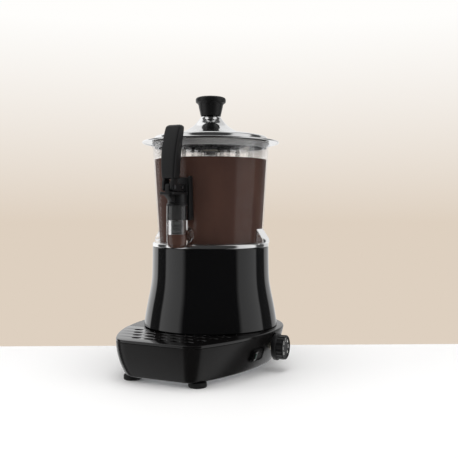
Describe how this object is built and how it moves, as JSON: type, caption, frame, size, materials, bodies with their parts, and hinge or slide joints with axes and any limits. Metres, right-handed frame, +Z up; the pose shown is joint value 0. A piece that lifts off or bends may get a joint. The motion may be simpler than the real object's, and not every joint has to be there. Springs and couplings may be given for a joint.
{
  "type": "hot chocolate dispenser",
  "caption": "Countertop hot chocolate dispenser: clear heated bowl with a stirrer, steel lid, front lever tap, bell-shaped column and a low base with drip tray, switch and dial.",
  "frame": {"origin": "on the surface the feet stand on, under the middle of the whole part in X and Y", "axes": "+Z up, -Y towards the tap and the user, +X towards the side with the switch and the dial"},
  "size_m": [0.2398, 0.2892, 0.405],
  "materials": {
    "satin_black": "satin moulded plastic",
    "gloss_black": "glossy moulded plastic",
    "moulded_black": "fine matt moulded plastic",
    "black_rubber": "soft rubber",
    "polished_steel": "polished stainless steel",
    "brushed_steel": "brushed stainless steel",
    "zinc_steel": "zinc-plated steel",
    "clear_plastic": "clear polycarbonate",
    "pale_silicone": "silicone rubber",
    "dark_silicone": "brown silicone rubber",
    "pale_resin": "plain engineering plastic",
    "green_lens": "translucent lens"
  },
  "bodies": {
    "base": {"base_housing": "satin_black", "bottom_plate": "zinc_steel", "foot_front_left": "black_rubber", "foot_front_right": "black_rubber", "foot_rear_left": "black_rubber", "foot_rear_right": "black_rubber", "plate_screw_1": "zinc_steel", "plate_screw_2": "zinc_steel", "plate_screw_3": "zinc_steel", "plate_screw_4": "zinc_steel", "column_housing": "gloss_black", "column_screw_1": "zinc_steel", "column_screw_2": "zinc_steel", "column_screw_3": "zinc_steel", "heating_pan": "polished_steel", "standpipe": "polished_steel", "standpipe_nut": "brushed_steel", "bowl_gasket": "pale_silicone", "heating_element": "brushed_steel", "motor_bracket": "zinc_steel", "gearbox": "pale_resin", "motor_can": "zinc_steel", "upper_bushing": "pale_resin", "lower_bushing": "pale_resin", "thermostat_body": "pale_resin", "switch_bezel": "gloss_black", "cable_gland": "moulded_black", "gland_nut": "moulded_black"},
    "drip_tray": {"drip_tray": "satin_black"},
    "drip_grid": {"drip_grid": "satin_black"},
    "drive_shaft": {"drive_shaft": "brushed_steel"},
    "stirrer": {"stirrer": "moulded_black"},
    "bowl": {"bowl": "clear_plastic", "outlet_tube": "clear_plastic", "tap_body": "moulded_black", "lever_pin": "brushed_steel"},
    "piston": {"tap_piston": "moulded_black", "lower_piston_ring": "black_rubber", "upper_piston_ring": "black_rubber", "piston_seal": "dark_silicone", "piston_cross_pin": "brushed_steel", "tap_spring": "brushed_steel"},
    "lever": {"lever": "moulded_black"},
    "lid": {"lid": "polished_steel", "lid_skirt": "brushed_steel", "lid_seal": "black_rubber", "lid_knob": "moulded_black", "knob_screw": "zinc_steel"},
    "dial": {"dial_knob": "moulded_black", "thermostat_spindle": "brushed_steel"},
    "rocker": {"switch_rocker": "satin_black", "pilot_lens": "green_lens"}
  },
  "joints": [
    {"name": "tray_lift", "type": "slide", "parent": "base", "child": "drip_tray", "axis": [0, 0, 1], "range_m": [0, 0.06]},
    {"name": "grid_lift", "type": "slide", "parent": "drip_tray", "child": "drip_grid", "axis": [0, 0, 1], "range_m": [0, 0.02]},
    {"name": "stirrer_drive", "type": "hinge", "parent": "base", "child": "drive_shaft", "pos_m": [-0.0081, 0.02635, 0.25], "axis": [0, 0, 1], "continuous": true},
    {"name": "stirrer_lift", "type": "slide", "parent": "drive_shaft", "child": "stirrer", "axis": [0, 0, 1], "range_m": [0, 0.015]},
    {"name": "bowl_lift", "type": "slide", "parent": "base", "child": "bowl", "axis": [0, 0, 1], "range_m": [0, 0.17]},
    {"name": "lever_pull", "type": "hinge", "parent": "bowl", "child": "lever", "pos_m": [-0.0081, -0.10215, 0.2645], "axis": [1, 0, 0], "range_deg": [0, 35], "stiffness_Nm_per_rad": 0.3, "springref_deg": -22.92},
    {"name": "piston_lift", "type": "slide", "parent": "bowl", "child": "piston", "axis": [0, 0, 1], "range_m": [0, 0.0147], "deforming": ["tap_spring"]},
    {"name": "lid_lift", "type": "slide", "parent": "bowl", "child": "lid", "axis": [0, 0, 1], "range_m": [0, 0.08]},
    {"name": "dial_turn", "type": "hinge", "parent": "base", "child": "dial", "pos_m": [0.1029, 0.01335, 0.035], "axis": [1, 0, 0], "range_deg": [-270, 0]},
    {"name": "switch_tilt", "type": "hinge", "parent": "base", "child": "rocker", "pos_m": [0.09153, -0.02897, 0.03039], "axis": [0.3134, -0.0569, 0.9479], "range_deg": [-16, 0]}
  ],
  "couplings": [
    {"joint": "piston_lift", "follows": "lever_pull", "m_per_rad": 0.024}
  ]
}
